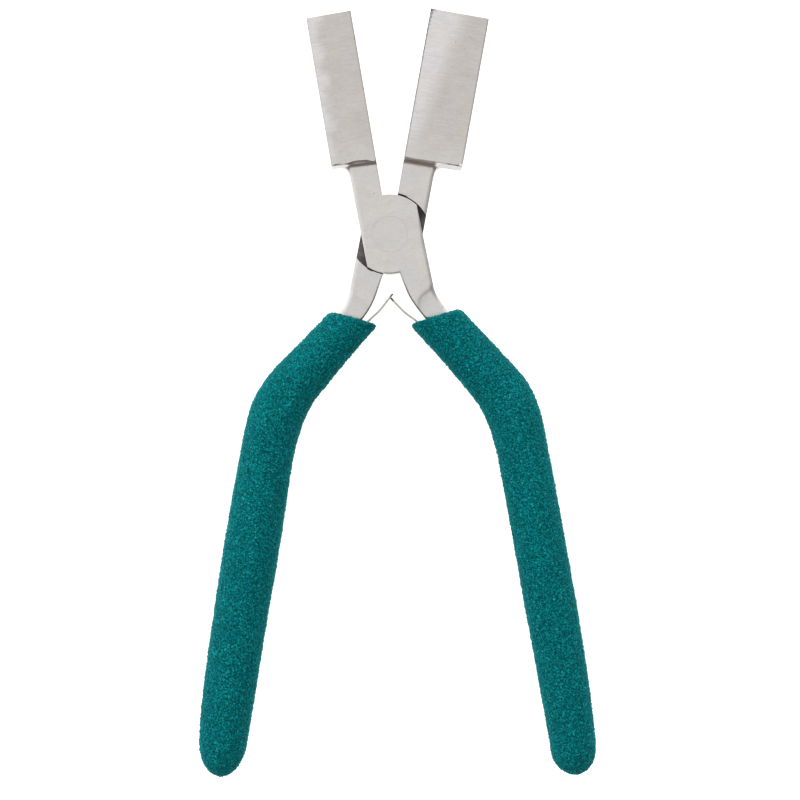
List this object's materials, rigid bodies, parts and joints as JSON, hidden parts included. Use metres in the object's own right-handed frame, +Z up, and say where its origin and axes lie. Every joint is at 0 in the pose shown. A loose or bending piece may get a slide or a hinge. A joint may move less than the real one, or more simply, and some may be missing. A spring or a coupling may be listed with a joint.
{
  "type": "square mandrel forming pliers",
  "caption": "Lap-jointed metal forming pliers with a small and a large square mandrel jaw, hooked leaf return springs and foam sleeve grips.",
  "frame": {"origin": "middle of the footprint on the surface that the pliers lie on, standing open as their springs hold them", "axes": "+Y along the pliers towards the jaw tips, +X towards the large jaw, +Z up, along the rivet"},
  "size_m": [0.0894, 0.1704, 0.013],
  "materials": {
    "jaw_steel": "fine satin grind across the jaws",
    "rivet_steel": "ground flush and satin polished",
    "spring_steel": "rolled spring strip, dull",
    "grip_foam": "fine-celled matte foam"
  },
  "bodies": {
    "large_half": {"large_jaw_half": "jaw_steel", "pivot_rivet": "rivet_steel", "left_grip": "grip_foam", "left_spring_screw": "spring_steel"},
    "small_half": {"small_jaw_half": "jaw_steel", "right_grip": "grip_foam", "right_spring_screw": "spring_steel"},
    "tongue_leaf": {"tongue_leaf_spring": "spring_steel"},
    "fork_leaf": {"fork_leaf_spring": "spring_steel"}
  },
  "joints": [
    {"name": "rivet_hinge", "type": "hinge", "parent": "large_half", "child": "small_half", "pos_m": [-0.00162, 0.03553, 0.0065], "axis": [0, 0, 1], "range_deg": [-20.2, 4], "stiffness_Nm_per_rad": 1},
    {"name": "tongue_leaf_bend", "type": "hinge", "parent": "large_half", "child": "tongue_leaf", "pos_m": [-0.01135, 0.01199, 0.0065], "axis": [0, 0, 1], "range_deg": [-3, 14], "deforming": ["tongue_leaf_spring"]},
    {"name": "fork_leaf_bend", "type": "hinge", "parent": "small_half", "child": "fork_leaf", "pos_m": [0.01005, 0.01212, 0.0065], "axis": [0, 0, 1], "range_deg": [-11, 2.5], "deforming": ["fork_leaf_spring"]}
  ],
  "couplings": [
    {"joint": "tongue_leaf_bend", "follows": "rivet_hinge", "ratio": -0.66},
    {"joint": "fork_leaf_bend", "follows": "rivet_hinge", "ratio": 0.52}
  ]
}
